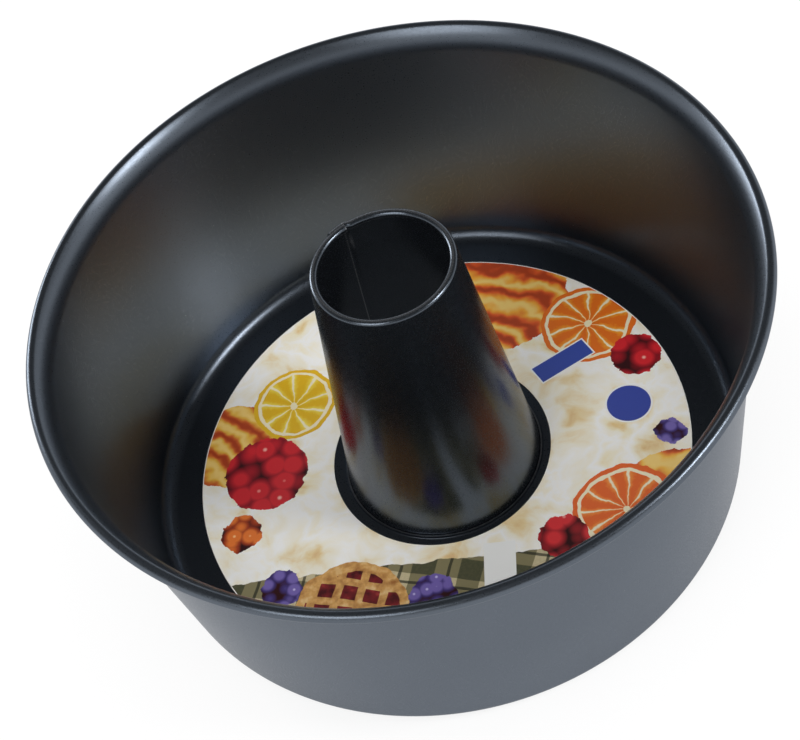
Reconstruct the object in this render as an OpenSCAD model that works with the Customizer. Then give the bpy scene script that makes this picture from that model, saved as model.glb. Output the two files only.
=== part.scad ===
// Angel food cake pan: a drawn steel shell with a wired, rolled rim and a dark non-stick coat,
// a tapered centre tube rolled from sheet and lap-seamed, and a loose printed card on the floor.
// Millimetres. The pan stands on z = 0 with its axis on Z; the lap seam is at the back.

/* [Shell] */
// Diameter over the rolled rim
rim_d = 265.5; // [250:0.5:290]
// Height of the rim's crest above the table
pan_h = 106; // [85:0.5:130]
// Diameter at which the wall's outside would meet the table
base_d = 227; // [205:0.5:235]
// Thickness of the shell's sheet
sheet = 0.6; // [0.4:0.05:0.8]
// Radius between floor and wall, inside
corner_r = 6.5; // [4:0.5:12]
// Radius of the flare that carries the wall out to the rim
flare_r = 16; // [10:0.5:20]
// Steepness lost by the flare where the bead takes over
flare_turn = 45; // [35:1:60]

/* [Rim bead] */
// Diameter of the wire in the rim
wire_d = 3; // [2.4:0.1:3.6]
// Gap between the wire and the sheet rolled round it
wire_gap = 0.05; // [0.02:0.01:0.1]
// Angle that the sheet turns round the wire
bead_turn = 292; // [250:1:300]

/* [Floor] */
// Width of the flat ring that the pan stands on
ring_w = 6; // [3:0.5:10]
// Rise of the floor from that ring to the tube
floor_rise = 1.8; // [1.6:0.1:3]
// Height of the turned-up edge round the tube, above the floor
collar_h = 1.1; // [0.8:0.1:3]
// Radius of that edge's bend, on the cake side
collar_r = 0.7; // [0.5:0.1:1.5]
// Gap between the turned-up edge and the tube
collar_gap = 0.15; // [0.05:0.05:0.3]

/* [Tube] */
// Height of the tube's crest above the table
tube_h = 117.5; // [100:0.5:150]
// Outside diameter of the tube at the floor
foot_d = 75.6; // [66:0.2:84]
// Diameter of the crest line round the tube's mouth
mouth_d = 49.5; // [44:0.5:54]
// Thickness of the tube's sheet
tube_sheet = 0.5; // [0.4:0.05:0.6]
// Outer radius of the curl at the mouth
lip_r = 1.5; // [1.3:0.1:2.5]
// Angle that the mouth's curl turns inward
lip_turn = 225; // [180:5:270]
// Width of the flange turned out under the floor
flange_w = 5; // [3:0.5:8]
// Radius of the flange's bend, inside
flange_r = 0.6; // [0.4:0.1:1]

/* [Lap seam] */
// Direction of the seam's inner edge, from +X
seam_at = 110; // [90:1:130]
// Width of the overlap, at the mouth
lap_w = 6; // [3:0.5:12]
// Height above the floor at which the overlap is notched away
notch_h = 3; // [2:0.5:8]

/* [Printed card] */
// Outside diameter
card_d = 193; // [180:1:196]
// Diameter of the hole for the tube
card_hole_d = 85.6; // [82:0.2:110]
// Thickness of the card
card_t = 0.4; // [0.2:0.05:0.8]
// How far the loose card lies off the axis, to the left and to the back
card_shift = [-0.6, 1.25]; // [-2:0.05:2]
// Gap between the card and the floor
card_gap = 0.08; // [0.05:0.01:0.3]

/* [Hidden] */
$fn = 180;

coat = "#34353a";
tinned = "#b9bcc0";
print_ground = "#e9dcc8";
bend_steps = 10;

// Rim: the bead's centre, then the flare's centre, from which the flare runs tangent to both.
bead_r = wire_d / 2 + wire_gap + sheet;
bead_c = [rim_d / 2 - bead_r, pan_h - bead_r];
flare_c = bead_c - (flare_r - bead_r) * [-cos(flare_turn), sin(flare_turn)];

// Wall: its inner face passes the base circle, a sheet inside it, and is tangent to the flare.
wall_foot = [base_d / 2 - sheet, 0];
to_flare = flare_c - wall_foot;
wall_lean = atan(to_flare[0] / to_flare[1]) - asin(flare_r / norm(to_flare));

// Corner between floor and wall: tangent to the floor's top and to the wall's inner face.
corner_z = sheet + corner_r;
corner_x = wall_foot[0] + corner_z * tan(wall_lean) - corner_r / cos(wall_lean);

// Floor: flat at the ring, then rising evenly to the tube.
hole_r = foot_d / 2 + collar_gap;
collar_x = hole_r + sheet + collar_r;
ring_x = corner_x - ring_w;
floor_slope = atan(floor_rise / (ring_x - collar_x));
function floor_z(x) = sheet + (ring_x - x) * tan(floor_slope);

// Tube: the cone's outside passes the foot circle and is tangent to the mouth's curl.
foot_z = floor_z(foot_d / 2);
lip_c = [mouth_d / 2, tube_h - lip_r];
foot_to_lip = [foot_d / 2 - lip_c[0], lip_c[1] - foot_z];
tube_lean = atan(foot_to_lip[0] / foot_to_lip[1]) - asin(lip_r / norm(foot_to_lip));
function tube_x(z) = foot_d / 2 - (z - foot_z) * tan(tube_lean);

// Widths on the seam as angles round the mouth.
function mouth_angle(w) = w / (PI * mouth_d) * 360;
lap_deg = mouth_angle(lap_w);

// A bend: points on the shown face with the direction that leads through the sheet.
// side is 1 where the sheet lies outside the bend's radius and -1 where it lies inside.
function bend(c, r, from, to, side) =
    [for (i = [0:bend_steps])
        let (a = from + (to - from) * i / bend_steps)
        [c[0] + r * cos(a), c[1] + r * sin(a), side > 0 ? a : a + 180]];

// The section of a sheet whose shown face follows a path of such points.
module sheet_section(path, t) {
    face = [for (p = path) [p[0], p[1]]];
    back = [for (i = [len(path) - 1:-1:0])
        [path[i][0] + t * cos(path[i][2]), path[i][1] + t * sin(path[i][2])]];
    polygon(concat(face, back));
}

// The drawn shell, from the turned-up edge at the tube to the end of the rim's roll.
shell_path = concat(
    [[hole_r + sheet, floor_z(collar_x) + collar_h, 180]],
    bend([collar_x, floor_z(collar_x) + collar_r], collar_r, 180, 270 - floor_slope, 1),
    [[ring_x, sheet, 270]],
    bend([corner_x, corner_z], corner_r, 270, 360 - wall_lean, 1),
    bend(flare_c, flare_r, 180 - wall_lean, 180 - flare_turn, -1),
    bend(bead_c, bead_r, 180 - flare_turn, 180 - flare_turn - bead_turn, -1));

module pan_shell() {
    color(coat) rotate_extrude() sheet_section(shell_path, sheet);
}

// The round wire that the rim is rolled over.
module rim_wire() {
    color(tinned) rotate_extrude() translate(bead_c) circle(d = wire_d, $fn = 48);
}

// Foot of the tube: the wall runs on through the floor and turns out under it as a flange.
function floor_under(x) = floor_z(x) - sheet / cos(floor_slope);
notch_z = foot_z + notch_h;
flange_bend_z = floor_under(hole_r) - flange_r;
foot_path = concat(
    [[tube_x(notch_z), notch_z, 180 + tube_lean],
     [tube_x(flange_bend_z), flange_bend_z, 225]],
    [for (x = [hole_r + flange_r, hole_r + flange_w]) [x, floor_under(x), 270 - floor_slope]]);

// Section of the tube's sheet: mouth curl, wall and foot.
wall_cut = tube_sheet / cos(tube_lean);
tube_path = concat(bend(lip_c, lip_r, lip_turn, tube_lean, -1), foot_path);

// The sheet's inner edge, one thickness inside the wall and pressed half into it, between the
// curl and the notch above the floor.
module lap_section() {
    high_z = lip_c[1] - lip_r;
    polygon([
        for (z = [notch_z, high_z]) [tube_x(z) - 0.5 * wall_cut, z],
        for (z = [high_z, notch_z]) [tube_x(z) - 2 * wall_cut, z]]);
}

// One sheet rolled to a cone and lapped: its inner edge stands at the seam.
module centre_tube() {
    color(coat) union() {
        rotate_extrude() sheet_section(tube_path, tube_sheet);
        rotate([0, 0, seam_at]) rotate_extrude(angle = lap_deg) lap_section();
    }
}

// The loose card, laid to the floor's even rise.
module card_insert() {
    inner_x = card_hole_d / 2;
    outer_x = card_d / 2;
    lift = card_gap + norm(card_shift) * tan(floor_slope);
    color(print_ground)
        translate([card_shift[0], card_shift[1], lift])
            rotate_extrude()
                polygon([
                    [inner_x, floor_z(inner_x)], [outer_x, floor_z(outer_x)],
                    [outer_x, floor_z(outer_x) + card_t], [inner_x, floor_z(inner_x) + card_t]]);
}

pan_shell();
rim_wire();
centre_tube();
card_insert();
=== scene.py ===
import math
import bmesh
import bpy
from mathutils import Matrix, Vector


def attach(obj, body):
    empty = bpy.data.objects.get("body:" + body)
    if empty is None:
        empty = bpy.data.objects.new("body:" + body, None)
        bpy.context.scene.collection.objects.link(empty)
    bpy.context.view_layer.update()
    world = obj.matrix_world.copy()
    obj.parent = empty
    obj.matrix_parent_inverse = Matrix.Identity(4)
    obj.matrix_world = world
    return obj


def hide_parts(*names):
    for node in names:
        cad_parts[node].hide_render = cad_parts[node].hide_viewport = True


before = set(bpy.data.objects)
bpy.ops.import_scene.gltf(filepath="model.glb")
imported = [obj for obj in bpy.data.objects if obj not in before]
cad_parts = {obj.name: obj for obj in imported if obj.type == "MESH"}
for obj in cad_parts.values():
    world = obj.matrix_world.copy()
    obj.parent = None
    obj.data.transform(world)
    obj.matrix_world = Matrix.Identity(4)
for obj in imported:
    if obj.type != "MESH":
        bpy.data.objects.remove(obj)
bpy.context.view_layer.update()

# Camera. It looks down into the pan from about 50 degrees, close to it, and is rolled so that
# the pan's axis leans to the upper left of the picture.
PICTURE_WIDTH = 800
FOCAL_PIXELS = 1999.5
SENSOR_MM = 36.0
camera_back, camera_height = 0.4605, 0.6277
camera_yaw, camera_pitch, camera_roll = -0.0126, 0.8894, -0.3253

camera_data = bpy.data.cameras.new("camera")
camera_data.sensor_fit = "HORIZONTAL"
camera_data.sensor_width = SENSOR_MM
camera_data.lens = FOCAL_PIXELS / PICTURE_WIDTH * SENSOR_MM
camera_data.clip_start = 0.01
camera = bpy.data.objects.new("camera", camera_data)
bpy.context.scene.collection.objects.link(camera)
forward = Vector((
    math.sin(camera_yaw) * math.cos(camera_pitch),
    math.cos(camera_yaw) * math.cos(camera_pitch),
    -math.sin(camera_pitch)))
level_right = Vector((math.cos(camera_yaw), -math.sin(camera_yaw), 0))
level_up = level_right.cross(forward)
right = math.cos(camera_roll) * level_right + math.sin(camera_roll) * level_up
up = right.cross(forward)
turn = Matrix((right, up, -forward)).transposed().to_4x4()
camera.matrix_world = Matrix.Translation((0, -camera_back, camera_height)) @ turn
bpy.context.scene.camera = camera
bpy.context.scene.view_settings.view_transform = "Standard"


# Studio. The pan stands on a plain white sweep. A key softbox hangs at the right front, a fill at
# the front left and a low one at the back left. Overhead it is dark, which keeps the coat black
# inside.
def linear(hex_colour):
    """An sRGB hex colour as the linear colour that a shader takes."""
    parts = [int(hex_colour[i:i + 2], 16) / 255 for i in (1, 3, 5)]
    return tuple([p / 12.92 if p <= 0.04045 else ((p + 0.055) / 1.055) ** 2.4 for p in parts] + [1.0])


def add(tree, kind, inputs=None, stops=(), **settings):
    """A node with its settings and links. An input is a constant or another node's output, and
    stops are the (position, hex colour) pairs of a colour ramp."""
    node = tree.nodes.new(kind)
    for name, value in settings.items():
        setattr(node, name, value)
    for name, value in (inputs or {}).items():
        if isinstance(value, bpy.types.NodeSocket):
            tree.links.new(value, node.inputs[name])
        else:
            node.inputs[name].default_value = value
    if stops:
        points = node.color_ramp.elements
        while len(points) < len(stops):
            points.new(0.5)
        for point, (position, colour) in zip(points, stops):
            point.position = position
            point.color = linear(colour)
    return node


def deselect():
    bpy.ops.object.select_all(action="DESELECT")


FLOOR_SIZE = 6.0
# The sweep glows for the camera, apart from a share that keeps the pan's soft shadow.
FLOOR_GLOW = 0.8
# Under the pan the sweep is nearly dark to reflections, as it is in the real pan's shadow.
SHADE_FROM, SHADE_TO, SHADE_LEFT = 0.105, 0.125, 0.04

deselect()
bpy.ops.mesh.primitive_plane_add(size=FLOOR_SIZE)
floor = bpy.context.active_object
floor.name = "studio_floor"
floor_paint = bpy.data.materials.new("white_sweep_paint")
floor_paint.use_nodes = True
tree = floor_paint.node_tree
shader = tree.nodes["Principled BSDF"]
shader.inputs["Base Color"].default_value = linear("#f2f2f2")
shader.inputs["Roughness"].default_value = 0.9
rays = add(tree, "ShaderNodeLightPath")
place = add(tree, "ShaderNodeTexCoord").outputs["Object"]
reach = add(tree, "ShaderNodeVectorMath", {0: place}, operation="LENGTH").outputs["Value"]
open_floor = add(tree, "ShaderNodeMapRange", {
    "Value": reach, "From Min": SHADE_FROM, "From Max": SHADE_TO, "To Min": SHADE_LEFT, "To Max": 1.0})
glossy = add(tree, "ShaderNodeMath", {0: rays.outputs["Is Glossy Ray"], 1: open_floor.outputs["Result"]},
             operation="MULTIPLY")
seen = add(tree, "ShaderNodeMath", {0: rays.outputs["Is Camera Ray"], 1: FLOOR_GLOW}, operation="MULTIPLY")
share = add(tree, "ShaderNodeMath", {0: glossy.outputs[0], 1: seen.outputs[0]}, operation="MAXIMUM")
glow = add(tree, "ShaderNodeEmission", {"Color": linear("#ffffff"), "Strength": 1.0})
mixed = add(tree, "ShaderNodeMixShader", {0: share.outputs[0], 1: shader.outputs[0], 2: glow.outputs[0]})
tree.links.new(mixed.outputs[0], tree.nodes["Material Output"].inputs["Surface"])
floor.data.materials.append(floor_paint)

# Plain level of the light that comes from all round.
AMBIENT = 1.1
# What the coat reflects: white to some 12 degrees above the table, then falling to dark at 30
# degrees. The two angles are given as their sines.
WHITE_BELOW, DARK_ABOVE = 0.2, 0.5
WHITE_LEVEL, DARK_LEVEL = 0.9, 0.05

world = bpy.data.worlds.new("studio")
bpy.context.scene.world = world
world.use_nodes = True
tree = world.node_tree
backdrop = tree.nodes["Background"]
direction = add(tree, "ShaderNodeTexCoord").outputs["Generated"]
height = add(tree, "ShaderNodeSeparateXYZ", {"Vector": direction}).outputs["Z"]
reflected = add(tree, "ShaderNodeMapRange", {
    "Value": height, "From Min": WHITE_BELOW, "From Max": DARK_ABOVE,
    "To Min": WHITE_LEVEL, "To Max": DARK_LEVEL})
rays = add(tree, "ShaderNodeLightPath")
lit = add(tree, "ShaderNodeMix", {
    "Factor": rays.outputs["Is Glossy Ray"], "A": AMBIENT, "B": reflected.outputs["Result"]})
strength = add(tree, "ShaderNodeMath", {0: lit.outputs["Result"], 1: rays.outputs["Is Camera Ray"]},
               operation="MAXIMUM")
tree.links.new(strength.outputs[0], backdrop.inputs["Strength"])
backdrop.inputs["Color"].default_value = linear("#ffffff")

# Each softbox: its name, its place, its side in metres and its power in watts.
AIM = Vector((0, 0, 0.05))
for name, lamp_place, side, power in (
        ("softbox_right", (1.05, -0.50, 0.95), 0.35, 7.5),
        ("softbox_front_left", (-0.75, -0.85, 1.1), 0.7, 6.0),
        ("softbox_low_back", (-0.9, 1.0, 0.5), 0.5, 6.0)):
    lamp_data = bpy.data.lights.new(name, "AREA")
    lamp_data.size = side
    lamp_data.energy = power
    lamp = bpy.data.objects.new(name, lamp_data)
    bpy.context.scene.collection.objects.link(lamp)
    lamp.location = lamp_place
    lamp.rotation_euler = (AIM - Vector(lamp_place)).to_track_quat("-Z", "Y").to_euler()


# Shell. One disc of steel sheet, deep drawn: a turned-up edge round the tube, a floor that rises
# to it, a round corner, a sloping wall that flares, and a rim rolled over a wire. It is sprayed
# and baked with a dark non-stick coat, which is satin and bluish under white light.
def arc(centre, radius, start, end, steps):
    """Points on an arc in the plane of radius and height; angles are in degrees."""
    turns = [math.radians(start + (end - start) * i / steps) for i in range(steps + 1)]
    return [(centre[0] + radius * math.cos(a), centre[1] + radius * math.sin(a)) for a in turns]


# The plane that an outline starts from, before it is merged to one point.
START_SIZE = 0.01


def draw_outline(name, outline, azimuth):
    """Draws an outline by extruding one point along it, and stays in edit mode with it selected."""
    out = Vector((math.cos(azimuth), math.sin(azimuth), 0))
    points = [out * x + Vector((0, 0, z)) for x, z in outline]
    deselect()
    bpy.ops.mesh.primitive_plane_add(size=START_SIZE)
    piece = bpy.context.active_object
    piece.name = name
    bpy.ops.object.mode_set(mode="EDIT")
    bpy.ops.mesh.select_all(action="SELECT")
    bpy.ops.mesh.merge(type="CENTER")
    bpy.ops.transform.translate(value=points[0])
    for before, after in zip(points, points[1:]):
        bpy.ops.mesh.extrude_vertices_move(TRANSFORM_OT_translate={"value": after - before})
    bpy.ops.mesh.select_all(action="SELECT")
    return piece


def spin(angle, steps):
    """Spins what is selected round the pan's axis, towards growing azimuth."""
    bpy.ops.mesh.spin(steps=steps, angle=angle, center=(0, 0, 0), axis=(0, 0, -1))


INWARDS, OUTWARDS = -1, 1
# Points nearer than this become one, and edges that turn by more than this stay sharp.
MERGE_WITHIN, SHARP_ABOVE = 1e-6, math.radians(40)


def finish_sheet(piece, thickness, shown_side):
    """Turns the faces to the shown side, gives the sheet its thickness behind them, and smooths
    all but its sharp edges."""
    bpy.ops.mesh.select_all(action="SELECT")
    bpy.ops.mesh.remove_doubles(threshold=MERGE_WITHIN)
    bpy.ops.mesh.normals_make_consistent(inside=False)
    bpy.ops.object.mode_set(mode="OBJECT")
    widest = max(piece.data.polygons, key=lambda face: face.area)
    radial = Vector((widest.center.x, widest.center.y, 0)).normalized()
    if widest.normal.dot(radial) * shown_side < 0:
        bpy.ops.object.mode_set(mode="EDIT")
        bpy.ops.mesh.select_all(action="SELECT")
        bpy.ops.mesh.flip_normals()
        bpy.ops.object.mode_set(mode="OBJECT")
    wall = piece.modifiers.new("sheet", "SOLIDIFY")
    wall.thickness = thickness
    wall.offset = -1
    wall.use_even_offset = True
    bpy.ops.object.modifier_apply(modifier=wall.name)
    bpy.ops.object.shade_smooth_by_angle(angle=SHARP_ABOVE)


# Sizes in metres, turns in degrees. Radii of bends are those of the shown face.
rim_r, pan_h, base_r = 0.13275, 0.106, 0.1135
sheet, corner_r, flare_r, flare_turn = 0.0006, 0.0065, 0.016, 45
wire_r, wire_gap, bead_turn = 0.0015, 0.00005, 292
ring_w, floor_rise, collar_h, collar_r = 0.006, 0.0018, 0.0011, 0.0007
foot_r, collar_gap = 0.0378, 0.00015
COLLAR_STEPS, CORNER_STEPS, FLARE_STEPS, BEAD_STEPS, SHELL_COLUMNS = 8, 24, 16, 40, 256

# The bead and the flare are tangent, and the wall is tangent to the flare and to the corner.
bead_r = wire_r + wire_gap + sheet
bead_x, bead_z = rim_r - bead_r, pan_h - bead_r
flare_x = bead_x + (flare_r - bead_r) * math.cos(math.radians(flare_turn))
flare_z = bead_z - (flare_r - bead_r) * math.sin(math.radians(flare_turn))
wall_x = base_r - sheet
wall_lean = math.degrees(math.atan2(flare_x - wall_x, flare_z)
                         - math.asin(flare_r / math.hypot(flare_x - wall_x, flare_z)))
corner_z = sheet + corner_r
corner_x = (wall_x + corner_z * math.tan(math.radians(wall_lean))
            - corner_r / math.cos(math.radians(wall_lean)))

# The floor rises evenly from the ring that the pan stands on to the turned-up edge.
hole_r = foot_r + collar_gap
collar_x = hole_r + sheet + collar_r
ring_x = corner_x - ring_w
floor_slope = math.atan2(floor_rise, ring_x - collar_x)
slope_deg = math.degrees(floor_slope)


def floor_z(x):
    """Height of the floor's upper face."""
    return sheet + (ring_x - x) * math.tan(floor_slope)


shell_outline = (
    [(hole_r + sheet, floor_z(collar_x) + collar_h)]
    + arc((collar_x, floor_z(collar_x) + collar_r), collar_r, 180, 270 - slope_deg, COLLAR_STEPS)
    + [(ring_x, sheet)]
    + arc((corner_x, corner_z), corner_r, 270, 360 - wall_lean, CORNER_STEPS)
    + arc((flare_x, flare_z), flare_r, 180 - wall_lean, 180 - flare_turn, FLARE_STEPS)
    + arc((bead_x, bead_z), bead_r, 180 - flare_turn, 180 - flare_turn - bead_turn, BEAD_STEPS)[1:])
shell = draw_outline("drawn_shell", shell_outline, 0)
spin(2 * math.pi, SHELL_COLUMNS)
finish_sheet(shell, sheet, INWARDS)


def non_stick_coat(name, greys, low_angle, roughness, wear_and_highlight):
    """Baked dark coat. The given function gives 1 where the coat wears thin and the steel shows, and where a
    highlight is painted on in the steel's colour.
    """
    made = bpy.data.materials.new(name)
    made.use_nodes = True
    tree = made.node_tree
    shader = tree.nodes["Principled BSDF"]
    place = add(tree, "ShaderNodeTexCoord").outputs["Object"]
    # Film thickness drifts over about 60 mm.
    film = add(tree, "ShaderNodeTexNoise", {"Vector": place, "Scale": 1 / 0.0625, "Detail": 2.0})
    body = add(tree, "ShaderNodeMix", {
        "Factor": film.outputs["Fac"], "A": linear(greys[0]), "B": linear(greys[1])}, data_type="RGBA")
    # Spray pebble about 0.5 mm wide, made coarse enough to show.
    pebble = add(tree, "ShaderNodeTexNoise", {"Vector": place, "Scale": 1 / 0.0005, "Detail": 1.0})
    # Pale specks of filler about 0.4 mm wide, 85 to a metre, which is one to some 12 mm.
    cells = add(tree, "ShaderNodeTexVoronoi", {"Vector": place, "Scale": 85.0})
    speck = add(tree, "ShaderNodeMath", {0: cells.outputs["Distance"], 1: 0.016}, operation="LESS_THAN")
    specked = add(tree, "ShaderNodeMix", {
        "Factor": speck.outputs[0], "A": body.outputs["Result"], "B": linear("#a4a7ad")}, data_type="RGBA")
    # Steel colour where the coat wears through, and also where a highlight is painted on.
    steel_and_highlights = add(tree, "ShaderNodeMix", {
        "Factor": wear_and_highlight(tree, place), "A": specked.outputs["Result"], "B": linear("#b2b5ba")},
        data_type="RGBA")
    tree.links.new(steel_and_highlights.outputs["Result"], shader.inputs["Base Color"])
    satin = add(tree, "ShaderNodeMapRange", {
        "Value": pebble.outputs["Fac"], "From Min": 0.3, "From Max": 0.7,
        "To Min": roughness - 0.04, "To Max": roughness + 0.04})
    tree.links.new(satin.outputs["Result"], shader.inputs["Roughness"])
    grain = add(tree, "ShaderNodeBump", {
        "Height": pebble.outputs["Fac"], "Strength": 0.06, "Distance": 0.00004})
    tree.links.new(grain.outputs["Normal"], shader.inputs["Normal"])
    # Mostly mirror-like, with a trace of the pigment's own grey, and held back at a low angle.
    shader.inputs["Metallic"].default_value = 0.96
    shader.inputs["Specular Tint"].default_value = linear(low_angle)
    return made


def worn_floor_edge(tree, place):
    """The raw top of the turned-up edge, where the coat chips."""
    chipped_down, chipped_out = 0.00015, 0.0001
    edge_z = floor_z(collar_x) + collar_h - chipped_down
    edge_r = hole_r + sheet + chipped_out
    flat = add(tree, "ShaderNodeVectorMath", {0: place, 1: (1, 1, 0)}, operation="MULTIPLY")
    reach = add(tree, "ShaderNodeVectorMath", {0: flat.outputs[0]}, operation="LENGTH").outputs["Value"]
    near = add(tree, "ShaderNodeMath", {0: reach, 1: edge_r}, operation="LESS_THAN")
    high = add(tree, "ShaderNodeSeparateXYZ", {"Vector": place}).outputs["Z"]
    top = add(tree, "ShaderNodeMath", {0: high, 1: edge_z}, operation="GREATER_THAN")
    # Chips about 3 mm across.
    chips = add(tree, "ShaderNodeTexNoise", {"Vector": place, "Scale": 300.0, "Detail": 3.0})
    edge = add(tree, "ShaderNodeMath", {0: near.outputs[0], 1: top.outputs[0]}, operation="MULTIPLY")
    return add(tree, "ShaderNodeMath", {0: edge.outputs[0], 1: chips.outputs["Fac"]},
               operation="MULTIPLY").outputs[0]


shell.data.materials.append(
    non_stick_coat("non_stick_coat_on_shell", ("#5a616a", "#646b74"), "#d9dbdf", 0.31, worn_floor_edge))
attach(shell, "pan")
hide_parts("pan_shell")

# Rim wire. Plain drawn steel wire, closed inside the rolled rim, which it stiffens. Drawing
# leaves it bright, with faint marks.
wire_steel = bpy.data.materials.new("drawn_steel_wire")
wire_steel.use_nodes = True
tree = wire_steel.node_tree
shader = tree.nodes["Principled BSDF"]
place = add(tree, "ShaderNodeTexCoord").outputs["Object"]
# Marks about 2.5 mm across.
draw_marks = add(tree, "ShaderNodeTexNoise", {"Vector": place, "Scale": 1 / 0.0025, "Detail": 3.0})
steel = add(tree, "ShaderNodeMix", {
    "Factor": draw_marks.outputs["Fac"], "A": linear("#a2a5aa"), "B": linear("#cccfd3")}, data_type="RGBA")
tree.links.new(steel.outputs["Result"], shader.inputs["Base Color"])
shader.inputs["Metallic"].default_value = 1.0
shader.inputs["Roughness"].default_value = 0.35
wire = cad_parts["rim_wire"]
wire.data.materials.clear()
wire.data.materials.append(wire_steel)

# Centre tube. Thinner sheet rolled to a cone and lapped at the back, where the outer layer steps
# out behind the inner edge. The mouth is curled inwards, and the foot goes through the floor and
# turns out under it. The coat is bright at the lap's inner edge, where it wears off. A highlight is
# painted on the curl's crest, where the coat also wears thin, and on the joggle beside the lap.
tube_h, mouth_r, tube_sheet, lip_r, lip_turn = 0.1175, 0.02475, 0.0005, 0.0015, 225
flange_w, flange_r, notch_h, notch_ease = 0.005, 0.0006, 0.003, 0.002
seam_at, lap_w, joggle_w, lap_play = math.radians(110), 0.006, 0.0026, 0.0004
LIP_STEPS, TUBE_COLUMNS, JOGGLE_STEPS, LAP_STEPS = 28, 240, 8, 6

lip_z = tube_h - lip_r
foot_z = floor_z(foot_r)
tube_lean = (math.atan2(foot_r - mouth_r, lip_z - foot_z)
             - math.asin(lip_r / math.hypot(foot_r - mouth_r, lip_z - foot_z)))
notch_z = foot_z + notch_h


def tube_x(z):
    """Radius of the cone's outside."""
    return foot_r - (z - foot_z) * math.tan(tube_lean)


def floor_under(x):
    """Height of the floor's lower face."""
    return floor_z(x) - sheet / math.cos(floor_slope)


flange_bend_z = floor_under(hole_r) - flange_r
wall_heights = (0.100, 0.070, 0.040, notch_z + notch_ease, notch_z, foot_z, flange_bend_z)
tube_outline = (
    arc((mouth_r, lip_z), lip_r, lip_turn, math.degrees(tube_lean), LIP_STEPS)
    + [(tube_x(z), z) for z in wall_heights]
    + [(x, floor_under(x)) for x in (hole_r + flange_r, hole_r + flange_w)])
lap_angle, joggle_angle = lap_w / mouth_r, joggle_w / mouth_r
tube = draw_outline("lapped_centre_tube", tube_outline, seam_at)
spin(2 * math.pi - joggle_angle, TUBE_COLUMNS)

# The joggle: above the notch the sheet eases out by its thickness and the lap's play. The height
# that parts it from the flush foot lies between the outline's points at the notch.
flush_below = notch_z + 0.5 * notch_ease
step_out = 0.0
for i in range(1, JOGGLE_STEPS + 1):
    spin(joggle_angle / JOGGLE_STEPS, 1)
    share = i / JOGGLE_STEPS
    next_out = (tube_sheet + lap_play) * share * share * (3 - 2 * share)
    column = [v for v in bmesh.from_edit_mesh(tube.data).verts if v.select]
    for v in column:
        if v.co.z > flush_below:
            v.co += Vector((v.co.x, v.co.y, 0)).normalized() * (next_out - step_out)
    step_out = next_out

# The lap: only what is above the notch runs on, behind the inner layer.
built = bmesh.from_edit_mesh(tube.data)
for v in built.verts:
    if v.select and v.co.z < flush_below:
        v.select = False
built.select_flush_mode()
bmesh.update_edit_mesh(tube.data)
spin(lap_angle, LAP_STEPS)
finish_sheet(tube, tube_sheet, OUTWARDS)


def lip_and_lap_wear_and_highlights(tree, place):
    """Painted highlights on the curl's crest, where the coat also wears thin, and in a spot on the outer
    layer beside the lap; and the inner edge, where the coat wears off.
    """
    # The crest: a painted highlight that also stands for the coat wearing thin, from 0.07 mm below its top
    # and fully from 0.02 mm below it.
    crest_from, crest_full = tube_h - 0.00007, tube_h - 0.00002
    height = add(tree, "ShaderNodeSeparateXYZ", {"Vector": place}).outputs["Z"]
    crest = add(tree, "ShaderNodeMapRange", {
        "Value": height, "From Min": crest_from, "From Max": crest_full, "To Min": 0.0, "To Max": 0.55})
    # The spot: a painted highlight on the joggle's bend, 12 mm below the mouth, narrow across and long down
    # the tube.
    spot_at, spot_z, spot_r, spot_squeeze = seam_at - 0.06, tube_h - 0.012, 0.0042, (5, 1, 0.75)
    spot_x = tube_x(spot_z)
    spot_place = (spot_x * math.cos(spot_at), spot_x * math.sin(spot_at), spot_z)
    away = add(tree, "ShaderNodeVectorMath", {0: place, 1: spot_place}, operation="SUBTRACT")
    narrow = add(tree, "ShaderNodeVectorMath", {0: away.outputs[0], 1: spot_squeeze}, operation="MULTIPLY")
    gap = add(tree, "ShaderNodeVectorMath", {0: narrow.outputs[0]}, operation="LENGTH").outputs["Value"]
    spot = add(tree, "ShaderNodeMapRange", {
        "Value": gap, "From Min": 0.2 * spot_r, "From Max": spot_r, "To Min": 0.9, "To Max": 0.0})
    # The inner edge, bright to 0.1 mm either side of the seam's plane, fading out at 0.5 mm from
    # it on the lap's side.
    edge_bright, edge_gone = 0.0001, 0.0005
    seam_out = (math.cos(seam_at), math.sin(seam_at), 0)
    seam_across = (-math.sin(seam_at), math.cos(seam_at), 0)
    beside = add(tree, "ShaderNodeVectorMath", {0: place, 1: seam_across}, operation="DOT_PRODUCT")
    facing = add(tree, "ShaderNodeVectorMath", {0: place, 1: seam_out}, operation="DOT_PRODUCT")
    line = add(tree, "ShaderNodeMapRange", {
        "Value": beside.outputs["Value"], "From Min": edge_bright, "From Max": edge_gone,
        "To Min": 0.9, "To Max": 0.0})
    left = add(tree, "ShaderNodeMath", {0: beside.outputs["Value"], 1: -edge_bright},
               operation="GREATER_THAN")
    near = add(tree, "ShaderNodeMath", {0: facing.outputs["Value"], 1: 0.0}, operation="GREATER_THAN")
    lapped = add(tree, "ShaderNodeMath", {0: left.outputs[0], 1: near.outputs[0]}, operation="MULTIPLY")
    edge = add(tree, "ShaderNodeMath", {0: line.outputs["Result"], 1: lapped.outputs[0]},
               operation="MULTIPLY")
    # The painted highlights of the crest and the spot.
    wear_and_highlight = add(tree, "ShaderNodeMath", {0: crest.outputs["Result"], 1: spot.outputs["Result"]},
               operation="MAXIMUM")
    return add(tree, "ShaderNodeMath", {0: wear_and_highlight.outputs[0], 1: edge.outputs[0]},
               operation="MAXIMUM").outputs[0]


# The tube's coat carries painted highlights on the curl's crest and on the joggle.
tube.data.materials.append(
    non_stick_coat("non_stick_coat_on_tube", ("#555c65", "#60676f"), "#f4f4f6", 0.25, lip_and_lap_wear_and_highlights))
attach(tube, "pan")
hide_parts("centre_tube")

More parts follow.
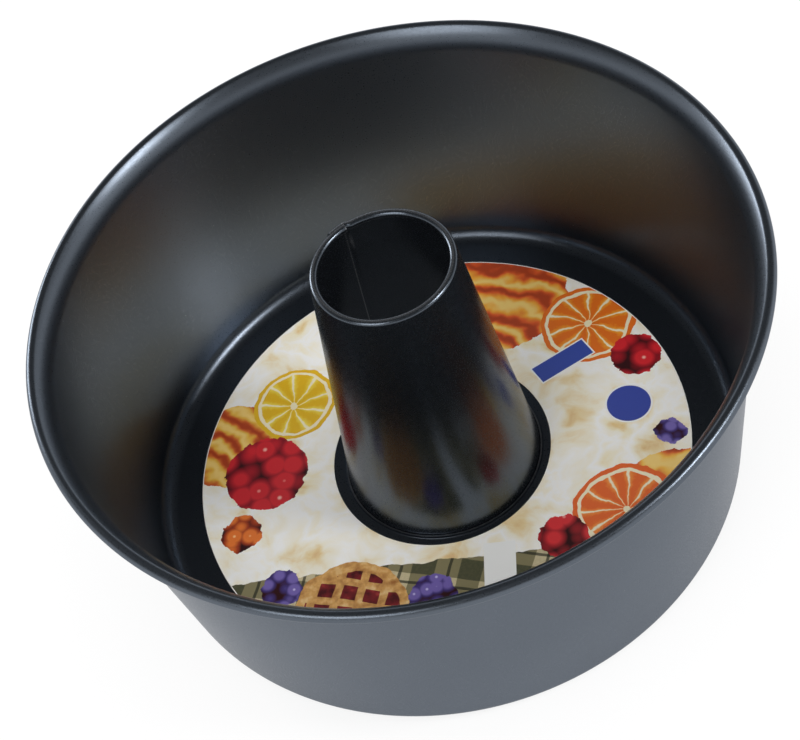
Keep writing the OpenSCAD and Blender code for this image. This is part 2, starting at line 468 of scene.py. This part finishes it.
# Card insert. A die-cut ring of thin card, printed in colour and varnished, loose on the floor.
# The print is a plain dessert pattern: cream, cut citrus, berries, a lattice pie and woven cloth,
# with bare panels. The outer edge stays white.
card_x, card_y, card_r, white_edge = -0.0006, 0.00125, 0.0965, 0.0004
print_ink = bpy.data.materials.new("varnished_printed_card")
print_ink.use_nodes = True
tree = print_ink.node_tree
shader = tree.nodes["Principled BSDF"]
place = add(tree, "ShaderNodeTexCoord").outputs["Object"]
flat = add(tree, "ShaderNodeVectorMath", {0: place, 1: (1, 1, 0)}, operation="MULTIPLY").outputs[0]


def wavy(width, amount):
    """The place on the card, pushed about by up to half an amount in waves of a width."""
    noise = add(tree, "ShaderNodeTexNoise", {"Vector": flat, "Scale": 1 / width, "Detail": 3.0})
    centred = add(tree, "ShaderNodeVectorMath", {0: noise.outputs["Color"], 1: (0.5, 0.5, 0.5)},
                  operation="SUBTRACT")
    push = add(tree, "ShaderNodeVectorMath", {0: centred.outputs[0], 1: (amount, amount, 0)},
               operation="MULTIPLY")
    return add(tree, "ShaderNodeVectorMath", {0: flat, 1: push.outputs[0]}, operation="ADD").outputs[0]


def lay(under, mask, over):
    """Prints one colour over another where the mask is 1."""
    return add(tree, "ShaderNodeMix", {"Factor": mask, "A": under, "B": over},
               data_type="RGBA").outputs["Result"]


def lay_round(under, ground, x, y, radius, over):
    """Prints a colour inside a round on the card, as wavy as the ground it is measured on."""
    gap = add(tree, "ShaderNodeVectorMath", {0: ground, 1: (x, y, 0)}, operation="DISTANCE")
    inside = add(tree, "ShaderNodeMath", {0: gap.outputs["Value"], 1: radius}, operation="LESS_THAN")
    return lay(under, inside.outputs[0], over)


soft = wavy(0.012, 0.006)
ragged = wavy(0.004, 0.005)

# Cream and sponge: 42 folds to a metre, each about 24 mm wide, with finer ripples.
clouds = add(tree, "ShaderNodeTexNoise", {"Vector": wavy(0.03, 0.03), "Scale": 42.0, "Detail": 6.0})
picture = add(tree, "ShaderNodeValToRGB", {"Fac": clouds.outputs["Fac"]}, stops=[
    (0.30, "#e2b071"), (0.38, "#f2d9a4"), (0.45, "#fbf3dc"), (0.54, "#fffefb"), (0.63, "#fbf0cf"),
    (0.70, "#efcf8f"), (0.78, "#d9a05c")]).outputs["Color"]

# Woven cloth: olive and cream checks 9 mm wide with dark threads of 1.2 mm, turned on the card.
check_pitch, check_w, thread_w, thread_at, cloth_turn = 0.018, 0.009, 0.0012, 0.25, 0.5
turned = add(tree, "ShaderNodeMapping", {
    "Vector": wavy(0.03, 0.004), "Rotation": (0, 0, cloth_turn)}).outputs[0]
threads = add(tree, "ShaderNodeSeparateXYZ", {"Vector": turned})


def stripe(axis, pitch, width, start=0.0):
    """1 on stripes of a width, one to each pitch, moved back by a share of the pitch."""
    counted = add(tree, "ShaderNodeMath", {0: threads.outputs[axis], 1: pitch}, operation="DIVIDE")
    moved = add(tree, "ShaderNodeMath", {0: counted.outputs[0], 1: start}, operation="ADD")
    along = add(tree, "ShaderNodeMath", {0: moved.outputs[0]}, operation="FRACT")
    return add(tree, "ShaderNodeMath", {0: along.outputs[0], 1: width / pitch},
               operation="LESS_THAN").outputs[0]


warp, weft = stripe("X", check_pitch, check_w), stripe("Y", check_pitch, check_w)
crossing = add(tree, "ShaderNodeMath", {0: warp, 1: weft}, operation="ADD")
half = add(tree, "ShaderNodeMath", {0: crossing.outputs[0], 1: 0.5}, operation="MULTIPLY")
cloth = add(tree, "ShaderNodeValToRGB", {"Fac": half.outputs[0]}, stops=[
    (0.1, "#d9cba2"), (0.5, "#8c8560"), (0.9, "#454c36")]).outputs["Color"]
# Fibres about 1 mm wide.
fibre = add(tree, "ShaderNodeTexNoise", {"Vector": flat, "Scale": 900.0, "Detail": 1.0})
fuzz = add(tree, "ShaderNodeMath", {0: fibre.outputs["Fac"], 1: 0.35}, operation="MULTIPLY")
cloth = lay(cloth, fuzz.outputs[0], linear("#8a7a58"))
for axis in ("X", "Y"):
    thread = add(tree, "ShaderNodeMath", {0: stripe(axis, check_pitch, thread_w, thread_at), 1: 0.8},
                 operation="MULTIPLY")
    cloth = lay(cloth, thread.outputs[0], linear("#2c3024"))

# The cloth lies in front of a slanting line, 50 mm before the tube's axis.
cloth_edge_y, cloth_edge_slant = -0.050, 0.25
wavy_axes = add(tree, "ShaderNodeSeparateXYZ", {"Vector": soft})
slant = add(tree, "ShaderNodeMath", {0: wavy_axes.outputs["X"], 1: cloth_edge_slant}, operation="MULTIPLY")
depth = add(tree, "ShaderNodeMath", {0: wavy_axes.outputs["Y"], 1: slant.outputs[0]}, operation="ADD")
front = add(tree, "ShaderNodeMath", {0: depth.outputs[0], 1: cloth_edge_y}, operation="LESS_THAN")
picture = lay(picture, front.outputs[0], cloth)


def citrus(picture, x, y, radius, rind, flesh, segments):
    """A cut round of fruit: rind, pale pith and wedges of flesh between pale skins."""
    away = add(tree, "ShaderNodeVectorMath", {0: soft, 1: (x, y, 0)}, operation="SUBTRACT")
    axes = add(tree, "ShaderNodeSeparateXYZ", {"Vector": away.outputs[0]})
    around = add(tree, "ShaderNodeMath", {0: axes.outputs["Y"], 1: axes.outputs["X"]},
                 operation="ARCTAN2")
    turns = add(tree, "ShaderNodeMath", {0: around.outputs[0], 1: segments / 2}, operation="MULTIPLY")
    swing = add(tree, "ShaderNodeMath", {0: turns.outputs[0]}, operation="SINE")
    wedge = add(tree, "ShaderNodeMath", {0: swing.outputs[0]}, operation="ABSOLUTE")
    # Pulp in cells about 1.4 mm wide.
    pulp = add(tree, "ShaderNodeTexNoise", {"Vector": flat, "Scale": 700.0, "Detail": 2.0})
    uneven = add(tree, "ShaderNodeMath", {0: pulp.outputs["Fac"], 1: 0.5}, operation="ADD")
    juice = add(tree, "ShaderNodeMath", {0: wedge.outputs[0], 1: uneven.outputs[0]}, operation="MULTIPLY")
    wedges = add(tree, "ShaderNodeValToRGB", {"Fac": juice.outputs[0]}, stops=[
        (0.10, "#fdf3cf"), (0.24, flesh), (0.8, rind)]).outputs["Color"]
    picture = lay_round(picture, soft, x, y, radius, linear(rind))
    picture = lay_round(picture, soft, x, y, 0.90 * radius, linear("#fdf0cc"))
    picture = lay_round(picture, soft, x, y, 0.82 * radius, wedges)
    return lay_round(picture, soft, x, y, 0.09 * radius, linear("#fbeec6"))


def berries(picture, x, y, radius, width, dark, ripe, shine):
    """A heap of round berries of a width, each with its shine and dark edge."""
    cells = add(tree, "ShaderNodeTexVoronoi", {"Vector": flat, "Scale": 1 / width, "Randomness": 0.7})
    heap = add(tree, "ShaderNodeValToRGB", {"Fac": cells.outputs["Distance"]}, stops=[
        (0.04, shine), (0.14, ripe), (0.42, ripe), (0.60, dark), (0.8, "#3a1216")]).outputs["Color"]
    return lay_round(picture, ragged, x, y, radius, heap)


def slices(picture, x, y, radius, width, light, deep):
    """Long cut slices of soft fruit, laid side by side."""
    # Diagonal bands of scale 1 repeat every 0.44 m, so the slices lie some 1.4 widths apart.
    bands = add(tree, "ShaderNodeTexWave", {
        "Vector": soft, "Scale": 0.31 / width, "Distortion": 9.0, "Detail": 3.0}, bands_direction="DIAGONAL")
    fruit = add(tree, "ShaderNodeValToRGB", {"Fac": bands.outputs["Fac"]}, stops=[
        (0.02, "#b8441c"), (0.25, deep), (0.7, light), (0.98, "#fdd67c")]).outputs["Color"]
    return lay_round(picture, ragged, x, y, radius, fruit)


def pie(picture, x, y, radius):
    """A round pie with a golden rim and a lattice of 3.2 mm strips over dark red fruit."""
    lattice_pitch, lattice_w = 0.009, 0.0032
    # Baked patches about 4 mm wide.
    baked = add(tree, "ShaderNodeTexNoise", {"Vector": flat, "Scale": 260.0, "Detail": 4.0})
    crust = add(tree, "ShaderNodeValToRGB", {"Fac": baked.outputs["Fac"]}, stops=[
        (0.3, "#a8692c"), (0.55, "#dda75c"), (0.75, "#f2d296")]).outputs["Color"]
    filling = add(tree, "ShaderNodeValToRGB", {"Fac": baked.outputs["Fac"]}, stops=[
        (0.3, "#3c0f14"), (0.6, "#8c1c22"), (0.8, "#c8483a")]).outputs["Color"]
    lattice = add(tree, "ShaderNodeMath", {
        0: stripe("X", lattice_pitch, lattice_w), 1: stripe("Y", lattice_pitch, lattice_w)},
        operation="MAXIMUM").outputs[0]
    picture = lay_round(picture, soft, x, y, radius, crust)
    return lay_round(picture, soft, x, y, 0.82 * radius, lay(filling, lattice, crust))


picture = slices(picture, 0.040, 0.070, 0.030, 0.008, "#fbb23c", "#e8602a")
picture = slices(picture, -0.078, 0.036, 0.020, 0.007, "#f4c04a", "#d86a2c")
picture = slices(picture, 0.078, -0.052, 0.022, 0.009, "#fcc24a", "#ea6a2c")
picture = citrus(picture, 0.071, 0.040, 0.0190, "#ee7418", "#faa52c", 10)
picture = citrus(picture, 0.018, 0.072, 0.0150, "#f0a81c", "#fbc83e", 9)
picture = berries(picture, 0.084, 0.018, 0.0100, 0.0075, "#a01220", "#dc232c", "#ffb9a8")
picture = citrus(picture, -0.051, 0.047, 0.0170, "#ecbc20", "#fadf54", 9)
picture = berries(picture, -0.069, 0.018, 0.0170, 0.0085, "#a01424", "#da252f", "#ffc0b0")
picture = berries(picture, -0.084, -0.006, 0.0080, 0.0060, "#b04018", "#ec7a2c", "#ffd9a0")
picture = pie(picture, -0.052, -0.058, 0.0235)
picture = berries(picture, -0.074, -0.036, 0.0080, 0.0050, "#43337c", "#7866b4", "#cfc6ee")
picture = berries(picture, -0.020, -0.060, 0.0090, 0.0050, "#43337c", "#7866b4", "#cfc6ee")
picture = citrus(picture, 0.058, -0.050, 0.0200, "#f0681c", "#fb9336", 11)
picture = berries(picture, 0.033, -0.053, 0.0095, 0.0070, "#a81420", "#e02a30", "#ffc4b4")
picture = berries(picture, 0.085, -0.022, 0.0060, 0.0045, "#473880", "#7a6ab6", "#d3cbf0")


def panel(picture, x, y, half_w, half_h, turn_by, colour):
    """A bare printed panel, turned on the card."""
    moved = add(tree, "ShaderNodeVectorMath", {0: flat, 1: (x, y, 0)}, operation="SUBTRACT").outputs[0]
    squared = add(tree, "ShaderNodeMapping", {"Vector": moved, "Rotation": (0, 0, turn_by)}).outputs[0]
    axes = add(tree, "ShaderNodeSeparateXYZ", {"Vector": squared})
    masks = []
    for axis, half_side in (("X", half_w), ("Y", half_h)):
        off = add(tree, "ShaderNodeMath", {0: axes.outputs[axis]}, operation="ABSOLUTE")
        masks.append(add(tree, "ShaderNodeMath", {0: off.outputs[0], 1: half_side}, operation="LESS_THAN"))
    inside = add(tree, "ShaderNodeMath", {0: masks[0].outputs[0], 1: masks[1].outputs[0]},
                 operation="MULTIPLY")
    return lay(picture, inside.outputs[0], linear(colour))


# Bare panels: two white, one blue with a white border, and a blue roundel with a white border.
picture = panel(picture, 0.002, -0.076, 0.006, 0.030, 0.25, "#fbfbf8")
picture = panel(picture, 0.044, -0.0815, 0.017, 0.005, -0.35, "#fbfbf8")
picture = panel(picture, 0.056, 0.0255, 0.0125, 0.0048, -0.3, "#f8f8f6")
picture = panel(picture, 0.056, 0.0255, 0.0119, 0.0042, -0.3, "#3a50ac")
badge_x, badge_y, badge_r, badge_border = 0.074, -0.004, 0.0085, 0.0007
picture = lay_round(picture, flat, badge_x, badge_y, badge_r + badge_border, linear("#f8f8f6"))
picture = lay_round(picture, flat, badge_x, badge_y, badge_r, linear("#3a4ca8"))
picture = lay_round(linear("#f4f2ec"), flat, card_x, card_y, card_r - white_edge, picture)
tree.links.new(picture, shader.inputs["Base Color"])
# Varnish over paper with a tooth about 3 mm wide.
paper = add(tree, "ShaderNodeTexNoise", {"Vector": flat, "Scale": 350.0, "Detail": 2.0})
gloss = add(tree, "ShaderNodeMapRange", {"Value": paper.outputs["Fac"], "To Min": 0.26, "To Max": 0.36})
tree.links.new(gloss.outputs["Result"], shader.inputs["Roughness"])
shader.inputs["Coat Weight"].default_value = 0.35
shader.inputs["Coat Roughness"].default_value = 0.12
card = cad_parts["card_insert"]
card.data.materials.clear()
card.data.materials.append(print_ink)
